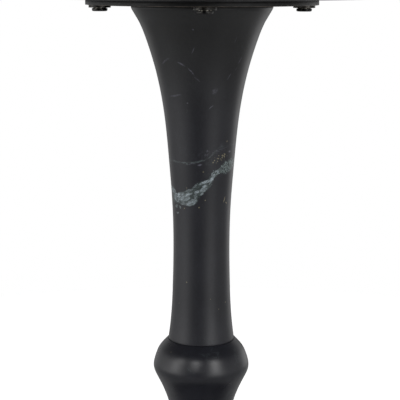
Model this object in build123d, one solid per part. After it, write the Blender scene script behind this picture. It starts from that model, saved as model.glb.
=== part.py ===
from build123d import *

import os
from math import cos, pi, sin

# Round pedestal table in black marble: a disc top bolted to a round steel plate,
# a trumpet-shaped column, a turned knop and a flared base, all clamped on one tie rod.
# Millimetres, +Z up. The origin is on the floor at the table's vertical axis.

# ---- driving dimensions -------------------------------------------------------------
total_height = 635.0

top_diameter = 400.0
top_thickness = 20.0
top_edge_radius = 2.0

gasket_thickness = 2.4
plate_diameter = 262.0
plate_thickness = 5.0
plate_edge_radius = 0.3

bolt_circle_diameter = 230.0
bolt_count = 4
bolt_diameter = 8.0
bolt_length = 20.0
bolt_clearance_diameter = 9.0
bolt_head_diameter = 17.6
bolt_head_height = 3.3
bolt_head_crown_diameter = 13.4
bolt_head_land = 2.0
bolt_socket_across_flats = 5.0
bolt_socket_depth = 2.4
bolt_tip_chamfer = 1.0

washer_diameter = 25.0
washer_thickness = 3.5
washer_bore_diameter = 8.4
washer_edge_chamfer = 0.3

lock_washer_diameter = 15.0
lock_washer_root_diameter = 12.6
lock_washer_thickness = 0.7
lock_washer_teeth = 10
lock_washer_bore_diameter = 8.2

insert_diameter = 12.0
insert_length = 13.0
insert_hole_depth = 14.0
insert_collar_diameter = 11.2
insert_groove_width = 1.0
insert_groove_count = 3

stone_edge_radius = 0.6
column_joint_thickness = 0.8
column_joint_inset = 1.4
knop_height = 107.0
column_height = 386.5
foot_clearance = 3.0

rod_diameter = 12.0
rod_clearance_diameter = 14.0
rod_chamfer = 1.2
rod_protrusion = 4.0

hub_diameter = 34.0
hub_height = 24.0
hub_weld_leg = 4.0
hub_pocket_diameter = 46.0
hub_pocket_depth = 30.0

bush_diameter = 24.0
bush_length = 30.0
bush_chamfer = 1.0
bush_pocket_clearance = 0.2
bush_rod_clearance = 0.25

recess_diameter = 96.0
recess_depth = 34.0
recess_edge_radius = 3.0
cover_diameter = 106.0
cover_thickness = 3.0
cover_edge_chamfer = 0.5
clamp_pad_diameter = 60.0
clamp_pad_thickness = 3.0
clamp_washer_diameter = 56.0
clamp_washer_thickness = 5.0
clamp_washer_chamfer = 0.8
rod_lock_washer_diameter = 21.1
rod_lock_washer_thickness = 2.5
rod_lock_washer_split = 2.0
nut_across_flats = 18.0
nut_height = 10.8
nut_chamfer = 1.0

pad_count = 4
pad_diameter = 34.0
pad_circle_diameter = 224.0
pad_thickness = 4.5
pad_edge_radius = 1.0

# ---- heights worked out from the driving dimensions ---------------------------------
top_underside = total_height - top_thickness
gasket_underside = top_underside - gasket_thickness
plate_underside = gasket_underside - plate_thickness
column_top = plate_underside - column_joint_thickness
column_bottom = column_top - column_height
knop_bottom = column_bottom - knop_height
base_underside = foot_clearance
recess_ceiling = base_underside + recess_depth

# ---- turned outlines ----------------------------------------------------------------
# Each outline is a list of (drop below the piece's top face, radius).
straight_down = (0, 0, -1)
straight_out = (1, 0, 0)

# Column: short upright lip, quick flare under the lip, long narrow waist low down,
# then a slight swell to the collar that stands on the knop.
column_lip_radius = 80.0
column_lip_height = 2.6
column_lip_direction = (-0.4, 0, -1)
column_outline = [
    (6.5, 78.0),
    (16.0, 72.3),
    (38.0, 63.0),
    (72.0, 52.6),
    (118.0, 43.5),
    (176.0, 37.5),
    (234.0, 33.4),
    (276.0, 32.6),
    (324.0, 33.5),
    (360.0, 35.5),
]
column_collar_radius = 38.5
column_collar_direction = (0.14, 0, -1)

# Knop: rounded shoulder, widest a third of the way down, tight turn, long hollow taper.
knop_top_radius = 39.4
knop_top_direction = (1, 0, -1)
knop_outline = [
    (5.0, 44.2),
    (12.0, 49.8),
    (22.0, 54.0),
    (34.0, 56.0),
    (43.0, 52.8),
    (54.0, 47.3),
    (74.0, 39.4),
    (90.0, 35.2),
]
knop_neck_radius = 33.7

# Base: leaves the knop's neck upright, sweeps out to a low shoulder and a plain rim.
base_outline = [
    (18.0, 35.0),
    (38.0, 40.7),
    (58.0, 54.0),
    (74.0, 78.0),
    (84.0, 108.0),
]
base_shoulder_radius = 137.0
base_shoulder_drop = 90.0
base_shoulder_direction = (1, 0, -0.12)
base_rim_radius = 140.0
base_rim_edge_radius = 2.5


def save(shape, name):
    """Writes one sub-part to its own STEP file."""
    shape.label = name
    export_step(shape, os.path.join("parts", name + ".step"))


def disc(diameter, height, bottom):
    """Upright cylinder on the table's axis, standing on the given height."""
    return Pos(0, 0, bottom) * Cylinder(
        diameter / 2, height, align=(Align.CENTER, Align.CENTER, Align.MIN)
    )


def smooth_outline(points, start_direction, end_direction):
    """Curve through an outline's points, with the given headings at its two ends."""
    return Spline(points, tangents=[start_direction, end_direction], tangent_scalars=[1, 1])


def turned(edges):
    """Solid of revolution about the table's axis, from a closed chain in the XZ plane."""
    return revolve(make_face(edges), Axis.Z)


def at_bolts(shape):
    """Copies of a shape modelled on the Z axis, one at each mounting bolt."""
    step = 360 / bolt_count
    radius = bolt_circle_diameter / 2
    return [Rot(0, 0, index * step) * Pos(radius, 0, 0) * shape for index in range(bolt_count)]


def outline_points(outline, top):
    """Turns (drop, radius) pairs into points of the XZ plane."""
    return [(radius, 0, top - drop) for drop, radius in outline]


def edges_at_height(shape, height):
    """Circular edges of a turned shape that lie at one height."""
    return [edge for edge in shape.edges() if abs(edge.center().Z - height) < 1e-4]


def outer_edge(shape, height):
    """The widest circular edge at one height."""
    return max(edges_at_height(shape, height), key=lambda edge: edge.radius)


def make_table_top():
    """Marble disc with eased edges and blind holes for the threaded inserts."""
    body = disc(top_diameter, top_thickness, top_underside)
    rim = [outer_edge(body, top_underside), outer_edge(body, total_height)]
    body = fillet(rim, top_edge_radius)
    hole = disc(insert_diameter, insert_hole_depth, top_underside)
    return body - at_bolts(hole)


def make_threaded_inserts():
    """Knurled brass sleeves set in the top, shown with shallow glue grooves."""
    sleeve = disc(insert_diameter, insert_length, top_underside)
    pitch = insert_length / (insert_groove_count + 1)
    for index in range(insert_groove_count):
        height = top_underside + (index + 1) * pitch - insert_groove_width / 2
        ring = disc(insert_diameter, insert_groove_width, height)
        sleeve -= ring - disc(insert_collar_diameter, insert_groove_width, height)
    sleeve -= disc(bolt_diameter, insert_length, top_underside)
    return Compound(children=at_bolts(sleeve))


def make_top_gasket():
    """Thin rubber disc between the steel plate and the marble top."""
    body = disc(plate_diameter, gasket_thickness, gasket_underside)
    return body - at_bolts(disc(bolt_clearance_diameter, gasket_thickness, gasket_underside))


def make_mounting_plate():
    """Round steel plate with four clearance holes and softened edges."""
    body = disc(plate_diameter, plate_thickness, plate_underside)
    rim = [outer_edge(body, plate_underside), outer_edge(body, gasket_underside)]
    body = fillet(rim, plate_edge_radius)
    return body - at_bolts(disc(bolt_clearance_diameter, plate_thickness, plate_underside))


def make_plate_hub():
    """Threaded boss under the plate's centre, with a weld fillet at its root."""
    radius = hub_diameter / 2
    bottom = plate_underside - hub_height
    bore = rod_diameter / 2
    weld_start = (radius + hub_weld_leg, 0, plate_underside)
    weld_end = (radius, 0, plate_underside - hub_weld_leg)
    edges = [
        Line((bore, 0, bottom), (radius, 0, bottom)),
        Line((radius, 0, bottom), weld_end),
        Line(weld_end, weld_start),
        Line(weld_start, (bore, 0, plate_underside)),
        Line((bore, 0, plate_underside), (bore, 0, bottom)),
    ]
    return turned(edges)


def make_mounting_bolts():
    """Low round-head bolts pushed up from below, each with a hexagon socket."""
    head_top = plate_underside - washer_thickness - lock_washer_thickness
    head_bottom = head_top - bolt_head_height
    land_bottom = head_top - bolt_head_land
    radius = bolt_head_diameter / 2
    crown = bolt_head_crown_diameter / 2
    shank = bolt_diameter / 2
    tip = head_top + bolt_length
    edges = [
        Line((0, 0, head_bottom), (crown, 0, head_bottom)),
        TangentArc((crown, 0, head_bottom), (radius, 0, land_bottom), tangent=(1, 0, 0.25)),
        Line((radius, 0, land_bottom), (radius, 0, head_top)),
        Line((radius, 0, head_top), (shank, 0, head_top)),
        Line((shank, 0, head_top), (shank, 0, tip - bolt_tip_chamfer)),
        Line((shank, 0, tip - bolt_tip_chamfer), (shank - bolt_tip_chamfer, 0, tip)),
        Line((shank - bolt_tip_chamfer, 0, tip), (0, 0, tip)),
        Line((0, 0, tip), (0, 0, head_bottom)),
    ]
    bolt = turned(edges)
    hexagon = RegularPolygon(bolt_socket_across_flats / 2, 6, major_radius=False)
    socket = extrude(Pos(0, 0, head_bottom) * hexagon, amount=bolt_socket_depth, dir=(0, 0, 1))
    return Compound(children=at_bolts(bolt - socket))


def make_flat_washers():
    """Broad flat washers against the plate's underside."""
    bottom = plate_underside - washer_thickness
    washer = disc(washer_diameter, washer_thickness, bottom)
    washer = chamfer(outer_edge(washer, bottom), washer_edge_chamfer)
    washer -= disc(washer_bore_diameter, washer_thickness, bottom)
    return Compound(children=at_bolts(washer))


def make_lock_washers():
    """Thin toothed lock washers between the flat washers and the bolt heads."""
    bottom = plate_underside - washer_thickness - lock_washer_thickness
    washer = disc(lock_washer_root_diameter, lock_washer_thickness, bottom)
    tooth_width = pi * lock_washer_diameter / lock_washer_teeth / 2
    for index in range(lock_washer_teeth):
        angle = index * 360 / lock_washer_teeth
        tooth = Box(
            lock_washer_diameter / 2,
            tooth_width,
            lock_washer_thickness,
            align=(Align.MIN, Align.CENTER, Align.MIN),
        )
        washer += Rot(0, 0, angle) * Pos(0, 0, bottom) * tooth
    washer &= disc(lock_washer_diameter, lock_washer_thickness, bottom)
    washer -= disc(lock_washer_bore_diameter, lock_washer_thickness, bottom)
    return Compound(children=at_bolts(washer))


def make_column_joint_ring():
    """Thin rubber ring between the plate and the column's lip."""
    outside = 2 * (column_lip_radius - column_joint_inset)
    ring = disc(outside, column_joint_thickness, column_top)
    return ring - disc(hub_pocket_diameter, column_joint_thickness, column_top)


def bush_pocket(face_height):
    """Round pocket for a centring bush, half on each side of a joint face."""
    length = bush_length + 2 * bush_pocket_clearance
    return disc(bush_diameter, length, face_height - length / 2)


def rod_clearance():
    """Through hole for the tie rod, from the base's recess to the plate."""
    return disc(rod_clearance_diameter, plate_underside, 0)


def make_column():
    """Trumpet-shaped marble column with a hub pocket on top and a bored core."""
    top_face_end = (column_lip_radius - stone_edge_radius, 0, column_top)
    lip_start = (column_lip_radius, 0, column_top - stone_edge_radius)
    lip_end = (column_lip_radius, 0, column_top - column_lip_height)
    collar = (column_collar_radius, 0, column_bottom + stone_edge_radius)
    bottom_face_start = (column_collar_radius - stone_edge_radius, 0, column_bottom)
    points = [lip_end, *outline_points(column_outline, column_top), collar]
    flare = smooth_outline(points, column_lip_direction, column_collar_direction)
    edges = [
        Line((0, 0, column_top), top_face_end),
        TangentArc(top_face_end, lip_start, tangent=straight_out),
        Line(lip_start, lip_end),
        flare,
        TangentArc(collar, bottom_face_start, tangent=straight_down),
        Line(bottom_face_start, (0, 0, column_bottom)),
        Line((0, 0, column_bottom), (0, 0, column_top)),
    ]
    body = turned(edges)
    body -= disc(hub_pocket_diameter, hub_pocket_depth, column_top - hub_pocket_depth)
    body -= rod_clearance()
    return body - bush_pocket(column_bottom)


def make_knop():
    """Turned marble knop between the column's collar and the base's neck."""
    start = (knop_top_radius, 0, column_bottom)
    end = (knop_neck_radius, 0, knop_bottom + stone_edge_radius)
    bottom_face_start = (knop_neck_radius - stone_edge_radius, 0, knop_bottom)
    points = [start, *outline_points(knop_outline, column_bottom), end]
    bulge = smooth_outline(points, knop_top_direction, straight_down)
    edges = [
        Line((0, 0, column_bottom), start),
        bulge,
        TangentArc(end, bottom_face_start, tangent=straight_down),
        Line(bottom_face_start, (0, 0, knop_bottom)),
        Line((0, 0, knop_bottom), (0, 0, column_bottom)),
    ]
    body = turned(edges)
    body -= rod_clearance()
    body -= bush_pocket(column_bottom)
    return body - bush_pocket(knop_bottom)


def make_base():
    """Flared marble foot with a covered recess for the rod's nut, and four pad pockets."""
    top_face_end = (knop_neck_radius - stone_edge_radius, 0, knop_bottom)
    start = (knop_neck_radius, 0, knop_bottom - stone_edge_radius)
    shoulder = (base_shoulder_radius, 0, knop_bottom - base_shoulder_drop)
    rim_top = (base_rim_radius, 0, shoulder[2] - base_rim_edge_radius)
    rim_bottom = (base_rim_radius, 0, base_underside + base_rim_edge_radius)
    rim_foot = (base_rim_radius - base_rim_edge_radius, 0, base_underside)
    points = [start, *outline_points(base_outline, knop_bottom), shoulder]
    sweep_out = smooth_outline(points, straight_down, base_shoulder_direction)
    edges = [
        Line((0, 0, knop_bottom), top_face_end),
        TangentArc(top_face_end, start, tangent=straight_out),
        sweep_out,
        TangentArc(shoulder, rim_top, tangent=base_shoulder_direction),
        Line(rim_top, rim_bottom),
        Line(rim_bottom, rim_foot),
        Line(rim_foot, (0, 0, base_underside)),
        Line((0, 0, base_underside), (0, 0, knop_bottom)),
    ]
    body = turned(edges)
    body -= disc(recess_diameter, recess_depth, base_underside)
    body = fillet(outer_edge(body, recess_ceiling), recess_edge_radius)
    body -= disc(cover_diameter, cover_thickness, base_underside)
    body -= rod_clearance()
    body -= bush_pocket(knop_bottom)
    for place in pad_places():
        body -= place * disc(pad_diameter, pad_thickness - foot_clearance, base_underside)
    return body


def make_centring_bush(face_height):
    """Plastic sleeve that lines up two turned pieces on the rod."""
    bottom = face_height - bush_length / 2
    sleeve = disc(bush_diameter, bush_length, bottom)
    rims = [outer_edge(sleeve, bottom), outer_edge(sleeve, bottom + bush_length)]
    sleeve = chamfer(rims, bush_chamfer)
    return sleeve - disc(rod_diameter + 2 * bush_rod_clearance, bush_length, bottom)


def make_tie_rod():
    """Threaded rod from the plate's hub to the nut under the base."""
    bottom = rod_nut_bottom() - rod_protrusion
    rod = disc(rod_diameter, plate_underside - bottom, bottom)
    ends = [outer_edge(rod, bottom), outer_edge(rod, plate_underside)]
    return chamfer(ends, rod_chamfer)


def make_clamp_pad():
    """Rubber ring that spreads the clamping load on the marble."""
    bottom = recess_ceiling - clamp_pad_thickness
    ring = disc(clamp_pad_diameter, clamp_pad_thickness, bottom)
    return ring - disc(rod_clearance_diameter, clamp_pad_thickness, bottom)


def clamp_washer_bottom():
    """Height of the clamp washer's lower face."""
    return recess_ceiling - clamp_pad_thickness - clamp_washer_thickness


def make_clamp_washer():
    """Thick steel washer under the rubber ring."""
    bottom = clamp_washer_bottom()
    washer = disc(clamp_washer_diameter, clamp_washer_thickness, bottom)
    washer = chamfer(outer_edge(washer, bottom), clamp_washer_chamfer)
    return washer - disc(rod_clearance_diameter, clamp_washer_thickness, bottom)


def rod_lock_washer_bottom():
    """Height of the rod's lock washer's lower face."""
    return clamp_washer_bottom() - rod_lock_washer_thickness


def make_rod_lock_washer():
    """Split spring washer on the tie rod."""
    bottom = rod_lock_washer_bottom()
    washer = disc(rod_lock_washer_diameter, rod_lock_washer_thickness, bottom)
    washer -= disc(rod_diameter + 2 * bush_rod_clearance, rod_lock_washer_thickness, bottom)
    split = Box(
        rod_lock_washer_diameter,
        rod_lock_washer_split,
        rod_lock_washer_thickness,
        align=(Align.MIN, Align.CENTER, Align.MIN),
    )
    return washer - Pos(0, 0, bottom) * split


def rod_nut_bottom():
    """Height of the nut's lower face."""
    return rod_lock_washer_bottom() - nut_height


def make_rod_nut():
    """Hexagon nut on the tie rod, with its corners turned off below."""
    bottom = rod_nut_bottom()
    hexagon = RegularPolygon(nut_across_flats / 2, 6, major_radius=False)
    nut = extrude(Pos(0, 0, bottom) * hexagon, amount=nut_height, dir=(0, 0, 1))
    corner_diameter = nut_across_flats / cos(pi / 6)
    turned_corners = chamfer(
        outer_edge(disc(corner_diameter, nut_height, bottom), bottom), nut_chamfer
    )
    return (nut & turned_corners) - disc(rod_diameter, nut_height, bottom)


def make_recess_cover():
    """Black plastic disc let into the base's underside, closing the nut's recess."""
    cover = disc(cover_diameter, cover_thickness, base_underside)
    return chamfer(outer_edge(cover, base_underside), cover_edge_chamfer)


def pad_places():
    """Places of the foot pads, between the directions of the mounting bolts."""
    step = 2 * pi / pad_count
    radius = pad_circle_diameter / 2
    angles = [step / 2 + index * step for index in range(pad_count)]
    return [Pos(radius * cos(angle), radius * sin(angle), 0) for angle in angles]


def make_foot_pad(place):
    """Round rubber pad let into the base's underside."""
    pad = disc(pad_diameter, pad_thickness, 0)
    pad = fillet(outer_edge(pad, 0), pad_edge_radius)
    return place * pad


os.makedirs("parts", exist_ok=True)

save(make_table_top(), "table_top")
save(make_threaded_inserts(), "threaded_inserts")
save(make_top_gasket(), "top_gasket")
save(make_mounting_plate(), "mounting_plate")
save(make_plate_hub(), "plate_hub")
save(make_mounting_bolts(), "mounting_bolts")
save(make_flat_washers(), "flat_washers")
save(make_lock_washers(), "lock_washers")
save(make_column_joint_ring(), "column_joint_ring")
save(make_column(), "column")
save(make_knop(), "knop")
save(make_base(), "base")
save(make_centring_bush(column_bottom), "upper_centring_bush")
save(make_centring_bush(knop_bottom), "lower_centring_bush")
save(make_tie_rod(), "tie_rod")
save(make_clamp_pad(), "clamp_pad")
save(make_clamp_washer(), "clamp_washer")
save(make_rod_lock_washer(), "rod_lock_washer")
save(make_rod_nut(), "rod_nut")
save(make_recess_cover(), "recess_cover")
for index, place in enumerate(pad_places()):
    save(make_foot_pad(place), "foot_pad_" + str(index + 1))
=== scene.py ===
from math import atan2, cos, hypot, pi, radians, sin, sqrt

import bmesh
import bpy
import numpy as np
from mathutils import Matrix, Vector, noise


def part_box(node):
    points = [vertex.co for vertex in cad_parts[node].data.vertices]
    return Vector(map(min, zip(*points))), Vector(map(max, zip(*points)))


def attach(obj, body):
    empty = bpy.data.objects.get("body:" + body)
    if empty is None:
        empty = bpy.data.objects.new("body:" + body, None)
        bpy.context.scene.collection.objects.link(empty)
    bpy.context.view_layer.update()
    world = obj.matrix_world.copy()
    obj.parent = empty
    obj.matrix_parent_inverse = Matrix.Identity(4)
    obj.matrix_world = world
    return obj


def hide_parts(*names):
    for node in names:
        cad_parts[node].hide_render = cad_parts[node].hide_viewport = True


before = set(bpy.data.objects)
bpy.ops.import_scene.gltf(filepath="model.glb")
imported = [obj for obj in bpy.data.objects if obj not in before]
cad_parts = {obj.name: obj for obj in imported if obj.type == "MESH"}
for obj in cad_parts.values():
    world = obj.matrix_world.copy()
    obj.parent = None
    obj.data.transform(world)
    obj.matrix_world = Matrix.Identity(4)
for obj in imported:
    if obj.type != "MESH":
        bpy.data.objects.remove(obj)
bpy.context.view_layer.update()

MM = 0.001
TURN = 2 * pi


# ---- node graphs --------------------------------------------------------------------


class Graph:
    """A material's node tree, with short calls for the nodes that the finishes use."""

    def __init__(self, name):
        self.material = bpy.data.materials.new(name)
        self.material.use_nodes = True
        self.tree = self.material.node_tree
        self.tree.nodes.clear()
        self.shader = self.node("ShaderNodeBsdfPrincipled")
        output = self.node("ShaderNodeOutputMaterial")
        self.link(self.shader.outputs["BSDF"], output.inputs["Surface"])
        place = self.node("ShaderNodeTexCoord")
        self.position = self.vector("SCALE", place.outputs["Object"], scale=1 / MM)

    def node(self, kind, **settings):
        made = self.tree.nodes.new(kind)
        for name, value in settings.items():
            setattr(made, name, value)
        return made

    def link(self, source, target):
        self.tree.links.new(source, target)

    def feed(self, socket, value):
        """Sets a socket from a number, a colour or another node's output."""
        if isinstance(value, bpy.types.NodeSocket):
            self.link(value, socket)
        else:
            socket.default_value = value

    def math(self, operation, *values, clamp=False):
        made = self.node("ShaderNodeMath", operation=operation, use_clamp=clamp)
        for socket, value in zip(made.inputs, values):
            self.feed(socket, value)
        return made.outputs[0]

    def vector(self, operation, *values, scale=None):
        made = self.node("ShaderNodeVectorMath", operation=operation)
        for socket, value in zip(made.inputs, values):
            self.feed(socket, value)
        if scale is not None:
            self.feed(made.inputs["Scale"], scale)
        return made.outputs["Value" if operation in ("LENGTH", "DISTANCE") else "Vector"]

    def axes(self, vector):
        made = self.node("ShaderNodeSeparateXYZ")
        self.link(vector, made.inputs[0])
        return made.outputs

    def noise(self, size, detail=3.0, roughness=0.55, at=None, seed=0.0, colour=False):
        """Noise whose features are about size millimetres across, from 0 to 1."""
        made = self.node("ShaderNodeTexNoise", noise_dimensions="4D")
        self.link(self.position if at is None else at, made.inputs["Vector"])
        made.inputs["W"].default_value = seed
        made.inputs["Scale"].default_value = 1 / size
        made.inputs["Detail"].default_value = detail
        made.inputs["Roughness"].default_value = roughness
        return made.outputs["Color" if colour else "Fac"]

    def cells(self, size, at=None, feature="F1", randomness=1.0):
        """Voronoi cells about size millimetres across."""
        made = self.node("ShaderNodeTexVoronoi", feature=feature)
        self.link(self.position if at is None else at, made.inputs["Vector"])
        made.inputs["Scale"].default_value = 1 / size
        made.inputs["Randomness"].default_value = randomness
        return made.outputs

    def ramp(self, value, low, high, start=0.0, end=1.0):
        """Smooth step of a value: start below low, end above high."""
        made = self.node("ShaderNodeMapRange", interpolation_type="SMOOTHSTEP")
        self.feed(made.inputs["Value"], value)
        self.feed(made.inputs["From Min"], low)
        self.feed(made.inputs["From Max"], high)
        made.inputs["To Min"].default_value = start
        made.inputs["To Max"].default_value = end
        return made.outputs["Result"]

    def centred(self, colour):
        """A noise colour as a vector of -0.5 to 0.5 each way."""
        return self.vector("SUBTRACT", colour, (0.5, 0.5, 0.5))

    def ridge(self, value, width):
        """Thin lines, 1 where the value passes 0.5 and 0 beyond width from it."""
        off = self.math("ABSOLUTE", self.math("SUBTRACT", value, 0.5))
        return self.ramp(off, 0.0, width, 1.0, 0.0)

    def specks(self, spacing, size, share):
        """Scattered round specks: size is a share of the spacing, share how many cells have one."""
        cell = self.cells(spacing)
        chance = self.axes(cell["Color"])
        reach = self.math("MULTIPLY", chance[1], 2 * size)
        inside = self.math("LESS_THAN", cell["Distance"], reach)
        return self.math("MULTIPLY", inside, self.math("LESS_THAN", chance[0], share))

    def lens(self, at, x, height, half_length, half_height, tilt):
        """Distance from a tilted spot's middle on the column's front, 1 at its outline."""
        made = self.node("ShaderNodeMapping", vector_type="TEXTURE")
        self.link(at, made.inputs["Vector"])
        front = -sqrt(max(0.0, SPOT_RADIUS**2 - x * x))
        made.inputs["Location"].default_value = (x, front, height)
        made.inputs["Rotation"].default_value = (0, -radians(tilt), 0)
        made.inputs["Scale"].default_value = (half_length, SPOT_DEPTH, half_height)
        return self.vector("LENGTH", made.outputs["Vector"])

    def curve(self, value, points):
        """A smooth curve through given (value, result) points."""
        made = self.node("ShaderNodeFloatCurve")
        low, high = points[0][0], points[-1][0]
        span = high - low
        bottom = min(result for _, result in points)
        rise = max(result for _, result in points) - bottom
        knots = made.mapping.curves[0].points
        for index, (where, result) in enumerate(points):
            place = ((where - low) / span, (result - bottom) / rise)
            if index == 0:
                knots[0].location = place
            elif index == len(points) - 1:
                knots[-1].location = place
            else:
                knots.new(*place)
        made.mapping.update()
        share = self.math("DIVIDE", self.math("SUBTRACT", value, low), span, clamp=True)
        self.link(share, made.inputs["Value"])
        return self.math("MULTIPLY_ADD", made.outputs[0], rise, bottom)

    def mix(self, share, first, second):
        """Blend of two colours."""
        made = self.node("ShaderNodeMix", data_type="RGBA")
        self.feed(made.inputs[0], share)
        self.feed(made.inputs[6], first)
        self.feed(made.inputs[7], second)
        return made.outputs[2]

    def bump(self, height, depth, after=None):
        """Normal from a height of 0 to 1 that stands for depth millimetres."""
        made = self.node("ShaderNodeBump")
        made.inputs["Strength"].default_value = 1.0
        made.inputs["Distance"].default_value = depth * MM
        self.link(height, made.inputs["Height"])
        if after is not None:
            self.link(after, made.inputs["Normal"])
        return made.outputs["Normal"]

    def finish(self, colour, roughness, normal=None, **constants):
        """Connects the shader's colour, roughness and normal, and sets plain numbers."""
        self.feed(self.shader.inputs["Base Color"], colour)
        self.feed(self.shader.inputs["Roughness"], roughness)
        if normal is not None:
            self.link(normal, self.shader.inputs["Normal"])
        for name, value in constants.items():
            self.shader.inputs[name.replace("_", " ")].default_value = value
        return self.material


# ---- black marble -------------------------------------------------------------------

STONE_DARK = (0.0100, 0.0102, 0.0112, 1)
STONE_LIGHT = (0.0185, 0.0188, 0.0200, 1)
SEAM_GREEN = (0.030, 0.042, 0.040, 1)
VEIN_DIM = (0.085, 0.105, 0.108, 1)
VEIN_PALE = (0.500, 0.580, 0.635, 1)
HAZE_VIOLET = (0.120, 0.118, 0.150, 1)
FLECK_GOLD = (0.300, 0.265, 0.170, 1)
GRIT_PALE = (0.235, 0.290, 0.290, 1)
NO_TINT = (1.0, 1.0, 1.0, 1)
COOL_TINT = (1.0, 1.02, 1.27, 1)
COOL_BELOW, NEUTRAL_ABOVE = 430.0, 590.0
# Painted shade on the column's lip under the plate: its near-black colour, and how far down it
# reaches in millimetres.
SHADE_UNDER_PLATE = (0.003, 0.003, 0.003, 1)
SHADE_UNDER_PLATE_REACH = 2.6

# Height in millimetres of the broken vein's middle across the column's front,
# by distance from the axis to the right, and half the vein's own height there.
BROKEN_VEIN = [
    (-34, 387),
    (-23, 391),
    (-11, 394.5),
    (-2, 404),
    (7, 410),
    (14, 420),
    (22, 425),
    (34, 428),
]
BROKEN_VEIN_REACH = [
    (-34, 5),
    (-17, 9),
    (-5, 11),
    (1, 7.5),
    (10, 7),
    (16, 3.5),
    (22, 5),
    (28, 8),
    (34, 6),
]
# Height of the middle of the thin vein above it, by the same distance.
THIN_VEIN = [
    (-36, 431),
    (-28, 432.5),
    (-16, 433),
    (-8, 434.5),
    (4, 438),
    (10, 442),
    (16, 448),
    (22, 451.5),
    (36, 450),
]
# Behind a plane this far in front of the axis, both veins climb towards the back by
# VEIN_CLIMB millimetres for each millimetre.
VEIN_FRONT = 30.0
VEIN_CLIMB = 0.10

# Fragments of the broken vein: place to the right, height, half length, half height,
# tilt in degrees, and paleness from 0 to 1.
FRAGMENTS = [
    (-33.0, 398.5, 2.6, 4.5, 20, 0.26),
    (-23.5, 392.0, 10.0, 6.0, 9, 0.26),
    (-27.0, 394.0, 4.2, 2.4, -15, 0.50),
    (-15.5, 397.0, 4.6, 1.8, 14, 0.34),
    (-14.5, 401.2, 5.5, 1.5, 20, 0.15),
    (-21.0, 384.8, 3.6, 1.7, 5, 0.16),
    (-12.0, 387.0, 7.4, 3.2, 24, 0.28),
    (-7.5, 394.5, 3.2, 1.8, 60, 0.22),
    (-6.0, 399.5, 3.8, 2.2, 40, 0.26),
    (-8.0, 406.8, 4.4, 1.1, 48, 0.13),
    (1.8, 403.6, 6.0, 3.0, 47, 0.32),
    (-0.4, 397.5, 2.4, 1.2, 40, 0.18),
    (3.8, 411.4, 8.6, 1.5, 24, 0.44),
    (9.5, 411.5, 3.4, 1.0, 50, 0.20),
    (11.6, 416.0, 5.4, 1.8, 60, 0.38),
    (11.4, 421.4, 3.0, 0.9, 66, 0.20),
    (15.2, 423.0, 3.4, 1.0, 10, 0.28),
    (17.8, 421.8, 2.2, 1.1, -48, 0.50),
    (21.0, 425.5, 2.6, 0.6, 40, 0.16),
    (25.5, 430.0, 3.2, 0.5, 52, 0.14),
    (28.5, 424.0, 2.6, 0.5, 35, 0.14),
    (27.0, 419.0, 1.6, 0.6, 10, 0.16),
    (-28.5, 381.0, 2.6, 1.0, 70, 0.10),
    (-25.0, 380.5, 2.0, 0.8, -70, 0.10),
    (-27.5, 373.5, 1.4, 1.2, 88, 0.16),
]

# Faint marks on the rest of the column: the same values, the last one multiplied
# by FAINT_STRENGTH.
FAINT_STRENGTH = 9.0
FAINT_MARKS = [
    (-41.5, 547.0, 5.0, 1.2, 50, 0.10),
    (-38.0, 549.5, 2.6, 1.0, 10, 0.10),
    (-24.0, 544.0, 4.6, 0.8, -25, 0.09),
    (-13.2, 536.5, 5.2, 0.6, -52, 0.10),
    (-6.5, 527.5, 3.8, 0.6, -38, 0.09),
    (-11.2, 559.5, 3.6, 0.6, 65, 0.09),
    (-11.3, 582.0, 1.0, 0.9, 0, 0.14),
    (35.5, 571.0, 4.6, 0.5, 68, 0.12),
    (41.0, 548.0, 5.4, 0.6, 58, 0.12),
    (36.5, 538.5, 2.6, 0.5, 60, 0.10),
    (29.0, 530.0, 4.0, 0.5, 58, 0.07),
    (12.8, 514.5, 3.6, 2.4, 50, 0.045),
    (-30.0, 508.5, 6.0, 0.9, 12, 0.06),
    (9.0, 496.0, 3.2, 0.5, 42, 0.09),
    (-17.0, 501.0, 0.9, 0.8, 0, 0.10),
    (-12.0, 431.8, 7.0, 0.4, 12, 0.05),
    (-2.9, 431.0, 2.4, 0.8, 15, 0.09),
    (4.9, 446.8, 1.3, 0.8, 60, 0.08),
    (22.0, 448.6, 5.0, 0.5, 12, 0.05),
    (30.7, 444.6, 1.2, 1.0, 0, 0.20),
]

# Golden flecks and threads: place to the right, height, half length, half height, tilt.
GOLD_MARKS = [
    (3.5, 390.0, 0.7, 0.5, 30),
    (-3.7, 382.0, 0.8, 0.5, 60),
    (-20.2, 379.8, 0.5, 0.5, 0),
    (25.0, 389.5, 3.4, 0.35, 72),
    (27.4, 384.7, 1.6, 0.35, -50),
    (13.1, 435.7, 0.7, 0.5, 40),
    (22.2, 438.3, 0.8, 0.6, 0),
    (24.4, 440.6, 1.0, 0.5, 30),
    (20.6, 436.2, 0.6, 0.4, 0),
]

# Beside the thin vein: a haze of violet flecks and a glitter of golden ones.
HAZE = (14.0, 446.0, 17.0, 5.0, 22)
GLITTER = (20.0, 438.3, 11.0, 3.6, 32)

# Tilt of the streaks in the fragments, and how they are stretched along, into and
# across the vein.
VEIN_RISE = 30
VEIN_STREAKS = (2.4, 1.5, 1.0)

# A spot sits on a cylinder of this radius, and reaches this far into the stone.
SPOT_RADIUS = 36.0
SPOT_DEPTH = 42.0

# Squeezes the noise's places sideways, so that the honing marks are long and level.
HONING_STRETCH = (0.06, 0.06, 1.0)
MARBLE_IOR = 1.5


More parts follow.
